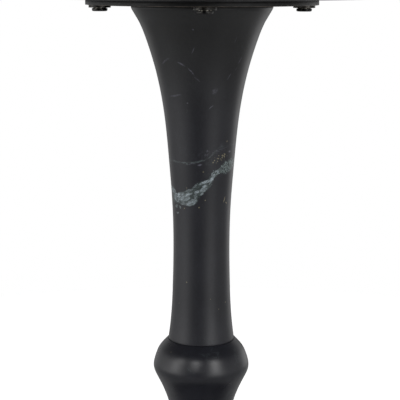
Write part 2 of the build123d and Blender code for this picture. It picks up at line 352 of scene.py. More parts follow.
def marble_ground(g, warped, seed):
    """Cloudy, nearly black stone, a little bluer low on the table."""
    cloud = g.noise(55, detail=5, roughness=0.6, at=warped, seed=seed)
    grain = g.noise(1.6, detail=2, seed=seed)
    tone = g.math("MULTIPLY_ADD", grain, 0.35, g.math("MULTIPLY", cloud, 0.65))
    colour = g.mix(g.ramp(tone, 0.35, 0.68), STONE_DARK, STONE_LIGHT)
    height = g.axes(g.position)[2]
    cool = g.ramp(height, COOL_BELOW, NEUTRAL_ABOVE, 1.0, 0.0)
    return g.vector("MULTIPLY", colour, g.mix(cool, NO_TINT, COOL_TINT))


def wisp_lines(g, warped, seed):
    """Hairline wisps: thin ridges of a slow noise, kept only in scattered patches."""
    ridge = g.ridge(g.noise(60, detail=5, at=warped, seed=seed + 3), 0.008)
    patch = g.ramp(g.noise(34, detail=2, seed=seed + 7), 0.56, 0.68)
    broken = g.ramp(g.noise(5, detail=3, seed=seed + 11), 0.40, 0.62)
    return g.math("MULTIPLY", ridge, g.math("MULTIPLY", patch, broken))


def stray_lines(g, warped, seed):
    """Stray veins: long, broken and rare."""
    line = g.ridge(g.noise(130, detail=7, roughness=0.6, at=warped, seed=seed + 31), 0.0075)
    stretch = g.ramp(g.noise(70, detail=2, seed=seed + 37), 0.46, 0.60)
    gaps = g.ramp(g.noise(4, detail=4, roughness=0.65, seed=seed + 41), 0.36, 0.56)
    return g.math("MULTIPLY", line, g.math("MULTIPLY", stretch, gaps))


def height_from(g, ragged, line):
    """How far a point lies above or below a vein's middle."""
    along, _, up = g.axes(ragged)
    back = g.math("ADD", g.axes(g.position)[1], VEIN_FRONT)
    climb = g.math("MULTIPLY", back, VEIN_CLIMB)
    middle = g.math("ADD", g.curve(along, line), climb)
    return g.math("ABSOLUTE", g.math("SUBTRACT", up, middle))


def vein_bed(g, ragged, colour):
    """Between the fragments: dark green rock under a lace of thin pale threads."""
    along = g.axes(ragged)[0]
    off = height_from(g, ragged, BROKEN_VEIN)
    share = g.math("DIVIDE", off, g.curve(along, BROKEN_VEIN_REACH))
    body = g.ramp(share, 0.62, 1.05, 1.0, 0.0)
    colour = g.mix(g.math("MULTIPLY", body, 0.80), colour, SEAM_GREEN)
    threads = g.ridge(g.noise(2.6, detail=3, roughness=0.6, seed=13), 0.050)
    lace = g.math("MULTIPLY", body, threads)
    gritty = g.ramp(along, 10.0, 19.0)
    colour = g.mix(lace, colour, g.mix(gritty, VEIN_DIM, GRIT_PALE))
    grit = g.math("MULTIPLY", g.math("MULTIPLY", body, gritty), g.specks(1.7, 0.30, 0.50))
    colour = g.mix(g.math("MULTIPLY", grit, 0.85), colour, GRIT_PALE)
    return colour, lace


def fragment_texture(g, wavy):
    """Mottled paleness streaked along the vein, and 1 less the dark lines that part it."""
    streaked = g.node("ShaderNodeMapping", vector_type="TEXTURE")
    g.link(wavy, streaked.inputs["Vector"])
    streaked.inputs["Rotation"].default_value = (0, -radians(VEIN_RISE), 0)
    streaked.inputs["Scale"].default_value = VEIN_STREAKS
    grainy = streaked.outputs["Vector"]
    hairlines = g.ridge(g.noise(4.0, detail=4, roughness=0.6, at=grainy, seed=41), 0.034)
    edges = g.cells(4.2, at=grainy, feature="DISTANCE_TO_EDGE")
    cracks = g.ramp(edges["Distance"], 0.01, 0.07, 1.0, 0.0)
    cracks = g.math("MULTIPLY", cracks, g.ramp(g.noise(6, detail=2, seed=45), 0.42, 0.58))
    split = g.math("MAXIMUM", hairlines, cracks)
    mottle = g.noise(2.3, detail=5, roughness=0.65, at=grainy, seed=43)
    mottle = g.ramp(mottle, 0.36, 0.68, 0.35, 2.3)
    return mottle, g.math("MULTIPLY_ADD", split, -0.95, 1.0)


def vein_fragments(g, wavy, ragged, colour, cover):
    """The fragments, each with its own paleness and a dark outline."""
    mottle, whole = fragment_texture(g, wavy)
    for *spot, paleness in FRAGMENTS:
        share = g.lens(ragged, *spot)
        colour = g.mix(g.ramp(share, 1.0, 1.20, 0.60, 0.0), colour, SEAM_GREEN)
        mask = g.math("MULTIPLY", g.ramp(share, 0.84, 1.06, 1.0, 0.0), whole)
        shade = g.math("MULTIPLY", mottle, paleness, clamp=True)
        colour = g.mix(mask, colour, g.mix(shade, VEIN_DIM, VEIN_PALE))
        cover = g.math("MAXIMUM", cover, mask)
    return colour, cover


def thin_vein(g, ragged, colour):
    """The thin vein above, faint and interrupted."""
    thin = g.ramp(height_from(g, ragged, THIN_VEIN), 0.1, 1.5, 1.0, 0.0)
    faded = g.ramp(g.noise(7, detail=3, seed=17), 0.36, 0.62, 0.12, 1.0)
    along = g.axes(ragged)[0]
    faded = g.math("MULTIPLY", faded, g.ramp(along, 5.0, 15.0, 1.0, 0.45))
    thin = g.math("MULTIPLY", thin, faded)
    return g.mix(g.math("MULTIPLY", thin, 0.85), colour, VEIN_DIM), thin


def haze_and_gold(g, wavy, ragged, colour):
    """A haze and a glitter beside the thin vein, and single golden flecks."""
    haze = g.ramp(g.lens(ragged, *HAZE), 0.3, 1.7, 1.0, 0.0)
    haze = g.math("MULTIPLY", haze, g.ramp(g.noise(2.6, detail=3, seed=51), 0.52, 0.72))
    colour = g.mix(g.math("MULTIPLY", haze, 0.45), colour, HAZE_VIOLET)
    near = g.ramp(g.lens(g.position, *GLITTER), 0.5, 1.5, 1.0, 0.0)
    glitter = g.math("MULTIPLY", near, g.specks(2.2, 0.24, 0.55))
    colour = g.mix(g.math("MULTIPLY", glitter, 0.75), colour, FLECK_GOLD)
    for mark in GOLD_MARKS:
        mask = g.ramp(g.lens(wavy, *mark), 0.6, 1.3, 0.9, 0.0)
        colour = g.mix(mask, colour, FLECK_GOLD)
    return colour


def faint_marks(g, wavy, colour):
    """The faint marks beside and above the veins."""
    smear = g.ramp(g.noise(2.2, detail=3, seed=61), 0.36, 0.60, 0.25, 1.0)
    for *spot, paleness in FAINT_MARKS:
        mask = g.ramp(g.lens(wavy, *spot), 0.5, 1.5, 1.0, 0.0)
        mask = g.math("MULTIPLY", mask, smear)
        shown = g.math("MULTIPLY", mask, FAINT_STRENGTH * paleness)
        colour = g.mix(shown, colour, HAZE_VIOLET)
    return colour


def add_veins(g, colour):
    """Everything that only the column's stone shows, and where it is pale."""
    fine = g.centred(g.noise(2.8, detail=5, roughness=0.7, seed=31, colour=True))
    slow = g.centred(g.noise(11, detail=3, seed=21, colour=True))
    wavy = g.vector("ADD", g.position, g.vector("SCALE", slow, scale=3.0))
    ragged = g.vector("ADD", wavy, g.vector("SCALE", fine, scale=5.5))
    colour, lace = vein_bed(g, ragged, colour)
    colour, cover = vein_fragments(g, wavy, ragged, colour, lace)
    colour, thin = thin_vein(g, ragged, colour)
    colour = haze_and_gold(g, wavy, ragged, colour)
    colour = faint_marks(g, wavy, colour)
    return colour, g.math("MAXIMUM", cover, thin)


def lip_shade(g):
    """Painted shade where the column's lip meets the plate, under the plate's overhang."""
    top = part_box("column")[1].z / MM
    height = g.axes(g.position)[2]
    return g.ramp(height, top - SHADE_UNDER_PLATE_REACH, top - 0.4 * SHADE_UNDER_PLATE_REACH, 0.0, 0.9)


def make_marble(name, veined, roughness, seed, wisps):
    """Honed black marble. A veined piece carries the broken vein and its thin companion."""
    g = Graph(name)
    drift = g.noise(30, detail=4, seed=seed, colour=True)
    warped = g.vector("ADD", g.position, g.vector("SCALE", g.centred(drift), scale=26.0))
    colour = marble_ground(g, warped, seed)
    pale = wisp_lines(g, warped, seed)
    colour = g.mix(g.math("MULTIPLY", pale, wisps), colour, VEIN_DIM)
    stray = stray_lines(g, warped, seed)
    colour = g.mix(g.math("MULTIPLY", stray, wisps), colour, VEIN_DIM)
    minerals = g.math("MULTIPLY", g.specks(9.0, 0.07, 0.10), 0.35)
    colour = g.mix(minerals, colour, FLECK_GOLD)
    if veined:
        colour, pale = add_veins(g, colour)
        # Painted shade: the lip's top is darkened where the plate shades it.
        shade_under_plate = lip_shade(g)
        colour = g.mix(shade_under_plate, colour, SHADE_UNDER_PLATE)

    smudge = g.noise(24, detail=4, seed=seed + 19)
    rough = g.math("MULTIPLY_ADD", smudge, 0.08, roughness - 0.04)
    rough = g.math("MULTIPLY_ADD", pale, 0.06, rough)
    if veined:
        # The painted shade band under the plate is also made rougher.
        rough = g.math("MULTIPLY_ADD", shade_under_plate, 0.45, rough)
    pores = g.noise(0.7, detail=3, roughness=0.7, seed=seed)
    swell = g.noise(14, detail=2, seed=seed + 23)
    stretched = g.vector("MULTIPLY", g.position, HONING_STRETCH)
    honing = g.noise(0.9, detail=3, roughness=0.6, at=stretched, seed=seed)
    rough = g.math("MULTIPLY_ADD", honing, 0.06, g.math("SUBTRACT", rough, 0.03))
    normal = g.bump(swell, 0.05, after=g.bump(honing, 0.003, after=g.bump(pores, 0.006)))
    return g.finish(colour, rough, normal, IOR=MARBLE_IOR)


# ---- metals, rubber and plastics ----------------------------------------------------

# Width in millimetres of the painted highlight round the plate's lower edge, where the edge catches
# light.
RIM_HIGHLIGHT_WIDTH = 0.9

COAT_BLACK = (0.0050, 0.0050, 0.0055, 1)
COAT_SMEAR = (0.0135, 0.0112, 0.0095, 1)
COAT_DUST = (0.12, 0.11, 0.10, 1)
# Warm pale colour of the painted highlight on the plate's lower edge.
RIM_HIGHLIGHT_COLOUR = (0.240, 0.195, 0.150, 1)
COAT_IOR = 1.5
RUBBER_IOR = 1.52
PLASTIC_IOR = 1.5


def rim_highlight(g):
    """Painted highlight along the plate's lower edge, where it catches light from below: a broken
    line round its rim.
    """
    low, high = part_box("mounting_plate")
    _, _, height = g.axes(g.position)
    from_axis = g.vector("LENGTH", g.vector("MULTIPLY", g.position, (1, 1, 0)))
    at_rim = g.math("GREATER_THAN", from_axis, high.x / MM - RIM_HIGHLIGHT_WIDTH)
    at_edge = g.ramp(height, low.z / MM, low.z / MM + RIM_HIGHLIGHT_WIDTH, 1.0, 0.0)
    patchy = g.ramp(g.noise(9, detail=4, roughness=0.65, seed=15), 0.35, 0.65, 0.15, 0.80)
    return g.math("MULTIPLY", g.math("MULTIPLY", at_rim, at_edge), patchy)


def make_powder_coat():
    """Black powder coat on steel: fine orange peel, dust, a faint warm smear and a painted
    highlight along the lower rim.
    """
    g = Graph("black_powder_coat")
    smear = g.ramp(g.noise(60, detail=4, roughness=0.6, seed=4), 0.45, 0.72)
    colour = g.mix(smear, COAT_BLACK, COAT_SMEAR)
    dust = g.cells(2.6)
    chance = g.axes(dust["Color"])
    inside = g.math("LESS_THAN", dust["Distance"], 0.10)
    speck = g.math("MULTIPLY", inside, g.math("LESS_THAN", chance[0], 0.10))
    colour = g.mix(g.math("MULTIPLY", speck, 0.35), colour, COAT_DUST)
    # Painted highlight on the plate's lower rim.
    colour = g.mix(rim_highlight(g), colour, RIM_HIGHLIGHT_COLOUR)
    rough = g.math("MULTIPLY_ADD", g.noise(18, detail=4, seed=6), 0.18, 0.36)
    peel = g.noise(1.3, detail=2, seed=8)
    return g.finish(colour, rough, g.bump(peel, 0.035), IOR=COAT_IOR)


def make_metal(name, dark, light, roughness, spread, grain):
    """Metal with a fine grain, cloudy plating and worn spots."""
    g = Graph(name)
    cloud = g.noise(5, detail=4, roughness=0.6, seed=2)
    colour = g.mix(g.ramp(cloud, 0.35, 0.70), dark, light)
    wear = g.ramp(g.noise(1.1, detail=4, roughness=0.7, seed=12), 0.62, 0.74)
    colour = g.mix(g.math("MULTIPLY", wear, 0.45), colour, light)
    rough = g.math("MULTIPLY_ADD", cloud, spread, roughness)
    marks = g.noise(grain, detail=2, roughness=0.7, seed=3)
    return g.finish(colour, rough, g.bump(marks, 0.02), Metallic=1.0)


def make_rubber(name, dark, light, roughness):
    """Matt rubber with a fine grain and a pale bloom."""
    g = Graph(name)
    bloom = g.noise(11, detail=5, roughness=0.65, seed=1)
    colour = g.mix(g.ramp(bloom, 0.38, 0.72), dark, light)
    rough = g.math("MULTIPLY_ADD", bloom, 0.14, roughness)
    grain = g.noise(0.55, detail=3, roughness=0.7, seed=5)
    return g.finish(colour, rough, g.bump(grain, 0.05), IOR=RUBBER_IOR)


def make_plastic(name, dark, light, roughness):
    """Moulded plastic with a spark-eroded texture and slight flow marks."""
    g = Graph(name)
    flow = g.noise(16, detail=2, roughness=0.4, seed=9)
    colour = g.mix(g.ramp(flow, 0.35, 0.70), dark, light)
    rough = g.math("MULTIPLY_ADD", flow, 0.12, roughness)
    texture = g.noise(0.4, detail=2, seed=7)
    return g.finish(colour, rough, g.bump(texture, 0.03), IOR=PLASTIC_IOR)


veined_marble = make_marble("veined_marble", veined=True, roughness=0.36, seed=1.0, wisps=0.15)
knop_marble = make_marble("knop_marble", veined=False, roughness=0.29, seed=6.5, wisps=0.30)
plain_marble = make_marble("plain_marble", veined=False, roughness=0.33, seed=9.0, wisps=0.90)
powder_coat = make_powder_coat()
black_oxide = make_metal(
    "black_oxide", (0.016, 0.016, 0.018, 1), (0.055, 0.053, 0.050, 1), 0.22, 0.16, 0.8
)
oiled_steel = make_metal(
    "oiled_steel", (0.026, 0.026, 0.026, 1), (0.090, 0.085, 0.077, 1), 0.21, 0.14, 0.6
)
spring_steel = make_metal(
    "spring_steel", (0.160, 0.150, 0.130, 1), (0.420, 0.400, 0.350, 1), 0.20, 0.14, 0.5
)
zinc_plate = make_metal(
    "zinc_plate", (0.48, 0.49, 0.51, 1), (0.66, 0.67, 0.69, 1), 0.28, 0.18, 0.9
)
machined_brass = make_metal(
    "machined_brass", (0.58, 0.42, 0.19, 1), (0.76, 0.58, 0.30, 1), 0.26, 0.16, 0.7
)
gasket_rubber = make_rubber(
    "gasket_rubber", (0.006, 0.006, 0.0065, 1), (0.014, 0.014, 0.015, 1), 0.40
)
foot_rubber = make_rubber(
    "foot_rubber", (0.020, 0.020, 0.020, 1), (0.042, 0.042, 0.042, 1), 0.62
)
cover_plastic = make_plastic(
    "cover_plastic", (0.018, 0.018, 0.019, 1), (0.027, 0.027, 0.028, 1), 0.44
)
white_nylon = make_plastic(
    "white_nylon", (0.70, 0.69, 0.64, 1), (0.80, 0.79, 0.75, 1), 0.40
)

CAD_FINISHES = {
    "table_top": plain_marble,
    "column": veined_marble,
    "knop": knop_marble,
    "base": plain_marble,
    "top_gasket": gasket_rubber,
    "column_joint_ring": gasket_rubber,
    "clamp_pad": gasket_rubber,
    "mounting_plate": powder_coat,
    "plate_hub": powder_coat,
    "mounting_bolts": black_oxide,
    "flat_washers": oiled_steel,
    "lock_washers": spring_steel,
    "threaded_inserts": machined_brass,
    "tie_rod": zinc_plate,
    "clamp_washer": zinc_plate,
    "rod_lock_washer": zinc_plate,
    "rod_nut": zinc_plate,
    "recess_cover": cover_plastic,
    "upper_centring_bush": white_nylon,
    "lower_centring_bush": white_nylon,
    "foot_pad_1": foot_rubber,
    "foot_pad_2": foot_rubber,
    "foot_pad_3": foot_rubber,
    "foot_pad_4": foot_rubber,
}


def paint(piece, material):
    """Gives a piece one material."""
    piece.data.materials.clear()
    piece.data.materials.append(material)


for node_name, finish in CAD_FINISHES.items():
    paint(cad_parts[node_name], finish)


# ---- turned and formed pieces --------------------------------------------------------

# Steps round an axis.
STONE_SEGMENTS = 240
METAL_SEGMENTS = 144
BOLT_SEGMENTS = 48
TOOTHED_SEGMENTS = 120
PAD_SEGMENTS = 96
SHARP_ANGLE = radians(32)

# A stone's section gets a point every STONE_STEP millimetres, except on long straights.
# It is a curve where its points are evenly spaced and turn only a little.
STONE_STEP = 2.2
LONGEST_SWEEP = 40.0
EVEN_RATIO = 3.0
SMOOTH_TURN = radians(12)

# Hardware, in millimetres.
BOLT_RADIUS = 4.0
BOLT_PITCH = 1.25
HEAD_RADIUS = 8.8
HEAD_LAND = 2.0
HEAD_FLAT_RADIUS = 6.7
SOCKET_WIDTH = 5.0
HOLE_RADIUS = 4.5
INSERT_RADIUS = 6.0
WASHER_RADIUS, WASHER_BORE = 12.5, 4.2
TOOTH_TIP, TOOTH_ROOT, LOCK_BORE = 7.5, 6.3, 4.1
TOOTH_COUNT = 10
TOOTH_SHARE = 0.62
TOOTH_HALF_SHEET = 0.22
ROD_PITCH = 1.75
ROD_THREADED = 46.0
PAD_RADIUS = 17.0
PAD_COUNT = 4
PAD_GROOVES = (13.0, 9.5, 6.0)
COVER_RINGS = (46.0, 42.0, 38.0)

# A thread's depth as a share of its pitch, and the rings that draw one turn of it.
THREAD_DEPTH = 0.61
THREAD_RINGS_PER_TURN = 8


def lathe(section, segments, centre=(0, 0), turn=0.0):
    """Vertices and faces of a closed section turned round an upright axis.

    A section's point is (radius, height), and either may be a function of the angle.
    A radius of 0 is a point on the axis.
    """
    vertices, rings = [], []
    for radius, height in section:
        first = len(vertices)
        if radius == 0:
            rings.append([first] * segments)
            vertices.append((*centre, height))
            continue
        rings.append(list(range(first, first + segments)))
        for step in range(segments):
            angle = TURN * step / segments
            r = radius(angle) if callable(radius) else radius
            h = height(angle) if callable(height) else height
            x, y = r * cos(angle + turn), r * sin(angle + turn)
            vertices.append((centre[0] + x, centre[1] + y, h))
    faces = []
    for upper, lower in zip(rings, rings[1:] + rings[:1]):
        for step in range(segments):
            after = (step + 1) % segments
            corners = (upper[step], upper[after], lower[after], lower[step])
            face = list(dict.fromkeys(corners))
            if len(face) > 2:
                faces.append(face)
    return vertices, faces


def joined(*shapes):
    """Several shapes' vertices and faces as one."""
    vertices, faces = [], []
    for more_vertices, more_faces in shapes:
        first = len(vertices)
        vertices += more_vertices
        faces += [[first + corner for corner in face] for face in more_faces]
    return vertices, faces


def make_object(name, vertices, faces):
    """A mesh object in the scene, from corners in millimetres."""
    mesh = bpy.data.meshes.new(name)
    mesh.from_pydata([Vector(v) * MM for v in vertices], [], faces)
    made = bpy.data.objects.new(name, mesh)
    bpy.context.scene.collection.objects.link(made)
    tidy_mesh(made)
    return made


def tidy_mesh(piece):
    """Faces outwards, and smooth shading that stays crisp at real edges."""
    shape = bmesh.new()
    shape.from_mesh(piece.data)
    bmesh.ops.recalc_face_normals(shape, faces=shape.faces)
    shape.to_mesh(piece.data)
    shape.free()
    piece.data.shade_smooth()
    piece.data.set_sharp_from_angle(angle=SHARP_ANGLE)


def stand_in(piece, material, node):
    """Makes a piece a part of the table, in place of a CAD node."""
    paint(piece, material)
    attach(piece, "root")
    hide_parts(node)


def drill(piece, places, radius, low, high):
    """Cuts upright round holes from low to high."""
    bit = [(0, high), (radius, high), (radius, low), (0, low)]
    bits = [lathe(bit, BOLT_SEGMENTS, place) for place in places]
    cutter = make_object("bit", *joined(*bits))
    cut = piece.modifiers.new("holes", "BOOLEAN")
    cut.operation = "DIFFERENCE"
    cut.solver = "EXACT"
    cut.object = cutter
    shapes = bpy.context.evaluated_depsgraph_get()
    mesh = bpy.data.meshes.new_from_object(piece.evaluated_get(shapes))
    piece.modifiers.clear()
    piece.data = mesh
    bpy.data.objects.remove(cutter)
    tidy_mesh(piece)


def arc(centre_radius, centre_height, across, up, start, end, steps):
    """Points of a round or oval edge, with start and end in degrees from straight out."""
    angles = [radians(start + (end - start) * step / steps) for step in range(steps + 1)]
    return [(centre_radius + across * cos(a), centre_height + up * sin(a)) for a in angles]


def extent(node):
    """A node's lowest and highest height and its furthest X, in millimetres."""
    low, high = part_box(node)
    return low.z / MM, high.z / MM, high.x / MM


def section_of(node):
    """Section of a turned CAD node, from its points over +X, walked round from the top's rim."""
    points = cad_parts[node].data.vertices
    free = {
        (round(p.co.x / MM, 4), round(p.co.z / MM, 4))
        for p in points
        if abs(p.co.y) < MM / 1000 and p.co.x > 0
    }
    walk = [max(free, key=lambda p: (p[1], p[0]))]
    free.remove(walk[0])
    while free:
        here = walk[-1]
        nearest = min(free, key=lambda p: hypot(p[0] - here[0], p[1] - here[1]))
        free.remove(nearest)
        walk.append(nearest)
    return walk


def refined(section):
    """Adds points along a section: on a curve where it runs on smoothly, else on the straight."""
    fine = []
    count = len(section)
    for index in range(count):
        a, b, c, d = (np.array(section[(index + k) % count]) for k in (-1, 0, 1, 2))
        lengths = [float(np.linalg.norm(q - p)) for p, q in ((a, b), (b, c), (c, d))]
        headings = [atan2(*(q - p)) for p, q in ((a, b), (b, c), (c, d))]
        turns = [abs((headings[k + 1] - headings[k] + pi) % TURN - pi) for k in (0, 1)]
        even = max(lengths) < EVEN_RATIO * min(lengths)
        curved = even and max(turns) < SMOOTH_TURN
        pieces = max(1, int(lengths[1] / STONE_STEP + 0.5))
        if lengths[1] >= LONGEST_SWEEP:
            pieces = 1
        for step in range(pieces):
            t = step / pieces
            if curved:
                bend = 2 * a - 5 * b + 4 * c - d
                rest = 3 * b - a - 3 * c + d
                point = b + 0.5 * t * ((c - a) + t * (bend + t * rest))
            else:
                point = b + t * (c - b)
            fine.append((float(point[0]), float(point[1])))
    return fine


def make_turned_stone(name, node, material):
    """A smooth stone on the section of its CAD node."""
    shape = lathe(refined(section_of(node)), STONE_SEGMENTS)
    stone = make_object(name, *shape)
    stand_in(stone, material, node)
    return stone


def make_marble_top():
    """Disc with softly rounded edges and four blind holes for the inserts."""
    low, high, radius = extent("table_top")
    ease = 2.0
    rings = [radius * k / 8 for k in range(1, 8)]
    section = [(0, high)] + [(r, high) for r in rings]
    section += arc(radius - ease, high - ease, ease, ease, 90, 0, 8)
    section += arc(radius - ease, low + ease, ease, ease, 0, -90, 8)
    section += [(r, low) for r in reversed(rings)] + [(0, low)]
    top = make_object("marble_top", *lathe(section, STONE_SEGMENTS))
    _, insert_top, _ = extent("threaded_inserts")
    drill(top, bolt_places, INSERT_RADIUS, low - 1, insert_top + 1)
    stand_in(top, plain_marble, "table_top")


def pad_centre(number):
    """Where a foot pad's axis stands, in millimetres."""
    corner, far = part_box(f"foot_pad_{number}")
    return tuple((corner + far)[k] / 2 / MM for k in (0, 1))


def make_marble_base():
    """The turned foot, with the pads' shallow pockets."""
    base = make_turned_stone("marble_base", "base", plain_marble)
    low, _, _ = extent("base")
    _, pad_high, _ = extent("foot_pad_1")
    places = [pad_centre(number) for number in range(1, PAD_COUNT + 1)]
    drill(base, places, PAD_RADIUS + 0.2, low - 1, pad_high)


def make_steel_plate():
    """Laser-cut disc: a fine wander in its rim, and its sharp edges just broken."""
    low, high, radius = extent("mounting_plate")
    broken, slight = 0.3, 0.1
    wander, waves, slant = 0.04, 14, 0.2

    def rim(shrink, height):
        def at(angle):
            place = Vector((cos(angle) * waves, sin(angle) * waves, height * slant))
            return radius - shrink - wander * (1 + noise.noise(place))

        return at

    section = [(0, high), (radius * 0.5, high), (radius * 0.9, high)]
    section += [(rim(broken, high), high), (rim(slight, high), high - slight)]
    section += [(rim(0, high), high - broken), (rim(0, low), low + broken)]
    section += [(rim(slight, low), low + slight), (rim(broken, low), low)]
    section += [(radius * 0.9, low), (radius * 0.5, low), (0, low)]
    plate = make_object("steel_plate", *lathe(section, STONE_SEGMENTS))
    drill(plate, bolt_places, HOLE_RADIUS, low - 1, high + 1)
    stand_in(plate, powder_coat, "mounting_plate")


def make_rubber_gasket():
    """Rubber sheet squeezed between plate and top, so its rim bulges a little."""
    low, high, radius = extent("top_gasket")
    middle, half = (low + high) / 2, (high - low) / 2
    bulge = 0.35
    section = [(0, high), (radius * 0.9, high)]
    section += arc(radius - bulge, middle, bulge, half, 90, -90, 8)
    section += [(radius * 0.9, low), (0, low)]
    gasket = make_object("rubber_gasket", *lathe(section, STONE_SEGMENTS))
    drill(gasket, bolt_places, HOLE_RADIUS, low - 1, high + 1)
    stand_in(gasket, gasket_rubber, "top_gasket")


def thread_rings(radius, pitch, low, high):
    """Rings of a helical thread, from high down to low."""
    depth = THREAD_DEPTH * pitch

    def ring(height):
        def at(angle):
            ridge = abs(2 * ((height / pitch - angle / TURN) % 1) - 1)
            return radius - depth * min(1.0, max(0.0, 1.2 * ridge - 0.1))

        return at

    count = int((high - low) / pitch * THREAD_RINGS_PER_TURN)
    heights = [high - (high - low) * step / count for step in range(count + 1)]
    return [(ring(height), height) for height in heights]


def hexagon(across_flats):
    """Radius of a hexagon's outline by angle."""

    def at(angle):
        return across_flats / 2 / cos(angle % (TURN / 6) - TURN / 12)

    return at


def make_bolts():
    """Button-head bolts seen from below: flat-crowned heads with hexagon sockets."""
    crown, tip, _ = extent("mounting_bolts")
    seat = extent("lock_washers")[0]
    section = [(0, tip), (BOLT_RADIUS - 1, tip), (BOLT_RADIUS - 0.6, tip - 0.5)]
    section += thread_rings(BOLT_RADIUS, BOLT_PITCH, seat + 2.5, tip - 1)
    section += [(BOLT_RADIUS - 0.3, seat + 2.2), (BOLT_RADIUS, seat + 1.8)]
    section += [(BOLT_RADIUS, seat + 0.5), (BOLT_RADIUS + 0.15, seat + 0.15)]
    section += [(BOLT_RADIUS + 0.5, seat)]
    section += arc(HEAD_RADIUS - 0.25, seat - 0.25, 0.25, 0.25, 90, 0, 3)
    dome = HEAD_RADIUS - HEAD_FLAT_RADIUS
    edge = seat - HEAD_LAND
    section += arc(HEAD_FLAT_RADIUS, edge, dome, edge - crown, 0, -90, 9)
    mouth = SOCKET_WIDTH / 2
    section += [(5.0, crown), (mouth + 1.0, crown), (mouth + 0.75, crown + 0.12)]
    socket = hexagon(SOCKET_WIDTH)
    section += [(socket, crown + 0.4), (socket, crown + 2.2), (0, crown + 2.6)]
    turned = [
        lathe(section, BOLT_SEGMENTS, place, turn=1.9 * k)
        for k, place in enumerate(bolt_places)
    ]
    bolts = make_object("button_head_bolts", *joined(*turned))
    stand_in(bolts, black_oxide, "mounting_bolts")


def make_washers():
    """Stamped penny washers: one rounded edge, one faint burr."""
    low, high, _ = extent("flat_washers")
    section = [(WASHER_BORE, high - 0.2), (WASHER_BORE + 0.2, high)]
    section += arc(WASHER_RADIUS - 0.15, high - 0.15, 0.15, 0.15, 90, 0, 3)
    section += arc(WASHER_RADIUS - 0.3, low + 0.3, 0.3, 0.3, 0, -90, 5)
    section += [(WASHER_BORE + 0.3, low), (WASHER_BORE, low + 0.3)]
    rings = [lathe(section, METAL_SEGMENTS, place) for place in bolt_places]
    washers = make_object("penny_washers", *joined(*rings))
    stand_in(washers, oiled_steel, "flat_washers")


def make_toothed_washers():
    """Thin spring-steel washers whose outer teeth are twisted out of the flat."""
    low, high, _ = extent("lock_washers")
    middle, half = (low + high) / 2, (high - low) / 2
    swing = half - TOOTH_HALF_SHEET
    upper, lower = middle + TOOTH_HALF_SHEET, middle - TOOTH_HALF_SHEET

    def in_tooth(angle):
        return (angle * TOOTH_COUNT / TURN) % 1 / TOOTH_SHARE

    def rim(angle):
        return TOOTH_TIP if in_tooth(angle) <= 1 else TOOTH_ROOT

    def twisted(height):
        def at(angle):
            lean = in_tooth(angle)
            return height + (swing * (2 * lean - 1) if lean <= 1 else 0)

        return at

    section = [(LOCK_BORE, upper), (TOOTH_ROOT - 0.3, upper)]
    section += [(rim, twisted(upper)), (rim, twisted(lower))]
    section += [(TOOTH_ROOT - 0.3, lower), (LOCK_BORE, lower)]
    rings = [
        lathe(section, TOOTHED_SEGMENTS, place, turn=0.2 + 0.7 * k)
        for k, place in enumerate(bolt_places)
    ]
    washers = make_object("toothed_washers", *joined(*rings))
    stand_in(washers, spring_steel, "lock_washers")


def make_threaded_rod():
    """Long zinc-plated stud, threaded for a stretch at each end."""
    low, high, radius = extent("tie_rod")
    chamfer, shank = 1.2, radius - 0.4
    upper_end, lower_end = high - ROD_THREADED, low + ROD_THREADED
    section = [(0, high), (radius - chamfer, high)]
    section += thread_rings(radius, ROD_PITCH, upper_end, high - chamfer)
    section += [(shank, upper_end - 2), (shank, lower_end + 2)]
    section += thread_rings(radius, ROD_PITCH, low + chamfer, lower_end)
    section += [(radius - chamfer, low), (0, low)]
    rod = make_object("threaded_rod", *lathe(section, BOLT_SEGMENTS))
    stand_in(rod, zinc_plate, "tie_rod")


def make_pads():
    """Moulded rubber feet with round edges and ringed treads."""
    groove_width, groove_depth = 1.2, 0.8
    for number in range(1, PAD_COUNT + 1):
        low, high, _ = extent(f"foot_pad_{number}")
        section = [(0, high), (PAD_RADIUS - 0.4, high), (PAD_RADIUS, high - 0.4)]
        section += arc(PAD_RADIUS - 1, low + 1, 1, 1, 0, -90, 6)
        for ring in PAD_GROOVES:
            outer, inner = ring + groove_width * 0.8, ring + groove_width * 0.2
            section += [(ring + groove_width, low), (outer, low + groove_depth)]
            section += [(inner, low + groove_depth), (ring, low)]
        section += [(0, low)]
        shape = lathe(section, PAD_SEGMENTS, pad_centre(number))
        pad = make_object(f"ribbed_pad_{number}", *shape)
        stand_in(pad, foot_rubber, f"foot_pad_{number}")


def make_cover():
    """Moulded plastic lid of the nut's recess, with raised rings and a thumb hollow."""
    low, high, radius = extent("recess_cover")
    section = [(0, high), (radius - 0.5, high), (radius, high - 0.5), (radius, low + 0.6)]
    section += arc(radius - 0.6, low + 0.6, 0.6, 0.6, 0, -90, 4)
    for ring in COVER_RINGS:
        section += [(ring + 1.6, low), (ring + 1.2, low + 0.5)]
        section += [(ring + 0.4, low + 0.5), (ring, low)]
    hollow, depth = 12.0, 1.2
    section += [(hollow, low)]
    section += [(r, low + depth * (1 - (r / hollow) ** 2)) for r in (10, 8, 6, 4, 2)]
    section += [(0, low + depth)]
    cover = make_object("ringed_cover", *lathe(section, METAL_SEGMENTS))
    stand_in(cover, cover_plastic, "recess_cover")


bolt_circle = extent("mounting_bolts")[2] - HEAD_RADIUS
quarters = [k * TURN / 4 for k in range(4)]
bolt_places = [(bolt_circle * cos(a), bolt_circle * sin(a)) for a in quarters]

make_marble_top()
make_turned_stone("marble_column", "column", veined_marble)
make_turned_stone("marble_knop", "knop", knop_marble)
make_marble_base()
make_steel_plate()
make_rubber_gasket()
make_bolts()
make_washers()
make_toothed_washers()
make_threaded_rod()
make_pads()
make_cover()


# ---- floor, light and camera --------------------------------------------------------

FLOOR_RADIUS = 1.1
FLOOR_GLOW = 0.75
FLOOR_DIM = (0.78, 0.78, 0.78, 1)
FLOOR_PALE = (0.82, 0.82, 0.82, 1)
WHITE = (1, 1, 1, 1)
STUDIO_LEVEL = 0.02

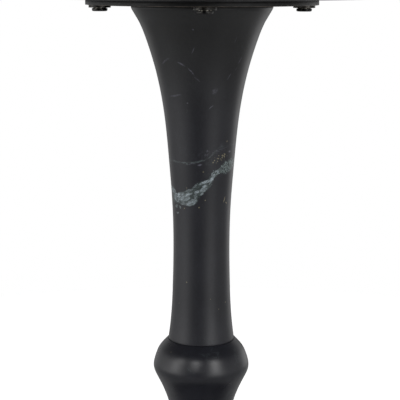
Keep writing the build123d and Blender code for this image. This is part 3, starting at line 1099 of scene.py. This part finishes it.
# Soft studio lights: azimuth and elevation in degrees (0 is towards -Y, positive to +X),
# sharpness of the falloff, and strength.
WIDE, MIDDLING, NARROW = 14.0, 30.0, 80.0
STUDIO_LIGHTS = [
    (-16, 27, NARROW, 5.5),
    (35, 27, NARROW, 5.2),
    (35, 14, NARROW, 2.3),
    (-68, 14, NARROW, 2.5),
    (-56, 27, NARROW, 2.7),
    (36, 2, WIDE, 1.75),
    (-60, 2, WIDE, 1.2),
    (-84, 2, WIDE, 1.0),
    (-108, 2, WIDE, 0.45),
    (84, 2, WIDE, 0.6),
    (132, -2, WIDE, 0.95),
    (148, -18, MIDDLING, 0.42),
    (-132, 2, WIDE, 0.3),
    (-148, -18, MIDDLING, 0.25),
    (-156, 2, WIDE, 0.3),
    (180, 52, WIDE, 1.5),
]


def add_node(tree, kind, **settings):
    made = tree.nodes.new(kind)
    for name, value in settings.items():
        setattr(made, name, value)
    return made


def make_floor():
    """Round matt floor, faintly uneven, and lifted to white where the camera sees it."""
    mesh = bpy.data.meshes.new("floor")
    shape = bmesh.new()
    bmesh.ops.create_circle(shape, cap_ends=True, segments=96, radius=FLOOR_RADIUS)
    shape.to_mesh(mesh)
    shape.free()
    floor = bpy.data.objects.new("floor", mesh)
    bpy.context.scene.collection.objects.link(floor)
    g = Graph("floor_paint")
    shade = g.mix(g.noise(80, detail=3, seed=1), FLOOR_DIM, FLOOR_PALE)
    paint(floor, g.finish(shade, 0.8))
    in_view = g.node("ShaderNodeLightPath").outputs["Is Camera Ray"]
    g.shader.inputs["Emission Color"].default_value = WHITE
    g.link(g.math("MULTIPLY", in_view, FLOOR_GLOW), g.shader.inputs["Emission Strength"])


def direction(azimuth, elevation):
    """Unit vector from the table: azimuth 0 is towards -Y, positive to +X."""
    a, e = radians(azimuth), radians(elevation)
    return Vector((sin(a) * cos(e), -cos(a) * cos(e), sin(e)))


def soft_light(tree, looking, light):
    """One light's soft lobe round its direction, added to the room's level."""
    azimuth, elevation, sharpness, strength = light
    towards = add_node(tree, "ShaderNodeVectorMath", operation="DOT_PRODUCT")
    tree.links.new(looking, towards.inputs[0])
    towards.inputs[1].default_value = direction(azimuth, elevation)
    falloff = add_node(tree, "ShaderNodeMath", operation="MULTIPLY_ADD")
    tree.links.new(towards.outputs["Value"], falloff.inputs[0])
    falloff.inputs[1].default_value = sharpness
    falloff.inputs[2].default_value = -sharpness
    glow = add_node(tree, "ShaderNodeMath", operation="EXPONENT")
    tree.links.new(falloff.outputs[0], glow.inputs[0])
    added = add_node(tree, "ShaderNodeMath", operation="MULTIPLY_ADD")
    tree.links.new(glow.outputs[0], added.inputs[0])
    added.inputs[1].default_value = strength
    added.inputs[2].default_value = STUDIO_LEVEL
    return added


def make_studio():
    """Studio surroundings: soft lights in a dim room, which the camera sees as plain white."""
    world = bpy.data.worlds.new("studio")
    bpy.context.scene.world = world
    world.use_nodes = True
    tree = world.node_tree
    tree.nodes.clear()
    looking = add_node(tree, "ShaderNodeTexCoord").outputs["Generated"]
    total = None
    for light in STUDIO_LIGHTS:
        added = soft_light(tree, looking, light)
        if total is not None:
            tree.links.new(total, added.inputs[2])
        total = added.outputs[0]
    level = add_node(tree, "ShaderNodeMix", data_type="FLOAT")
    tree.links.new(add_node(tree, "ShaderNodeLightPath").outputs["Is Camera Ray"], level.inputs[0])
    tree.links.new(total, level.inputs[2])
    level.inputs[3].default_value = 1.0
    background = add_node(tree, "ShaderNodeBackground")
    background.inputs["Color"].default_value = WHITE
    tree.links.new(level.outputs[0], background.inputs["Strength"])
    output = add_node(tree, "ShaderNodeOutputWorld")
    tree.links.new(background.outputs[0], output.inputs[0])


# The camera's distance from the table's axis, its turn to the left and its aim in
# degrees, and its lens and sensor in millimetres.
CAMERA_DISTANCE = 1395 * MM
CAMERA_ABOVE_PLATE = 27.1 * MM
CAMERA_TURN = 1.45
CAMERA_PITCH = 10.17
CAMERA_ROLL = 0.15
CAMERA_PAN = 0.075
CAMERA_LENS = 110.35
CAMERA_SENSOR = 36
NEAR_CLIP, FAR_CLIP = 0.05, 50


def make_camera():
    """Puts the camera at the photograph's viewing point, about level with the top."""
    lens = bpy.data.cameras.new("camera")
    lens.sensor_width = CAMERA_SENSOR
    lens.lens = CAMERA_LENS
    lens.clip_start = NEAR_CLIP
    lens.clip_end = FAR_CLIP
    camera = bpy.data.objects.new("camera", lens)
    bpy.context.scene.collection.objects.link(camera)
    bpy.context.scene.camera = camera
    plate_low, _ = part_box("mounting_plate")
    camera.location = direction(-CAMERA_TURN, 0) * CAMERA_DISTANCE
    camera.location.z = plate_low.z + CAMERA_ABOVE_PLATE
    aim = (
        Matrix.Rotation(radians(-CAMERA_TURN + CAMERA_PAN), 4, "Z")
        @ Matrix.Rotation(radians(90 - CAMERA_PITCH), 4, "X")
        @ Matrix.Rotation(radians(CAMERA_ROLL), 4, "Z")
    )
    camera.rotation_euler = aim.to_euler()


make_floor()
make_studio()
make_camera()

bpy.context.scene.view_settings.view_transform = "Standard"
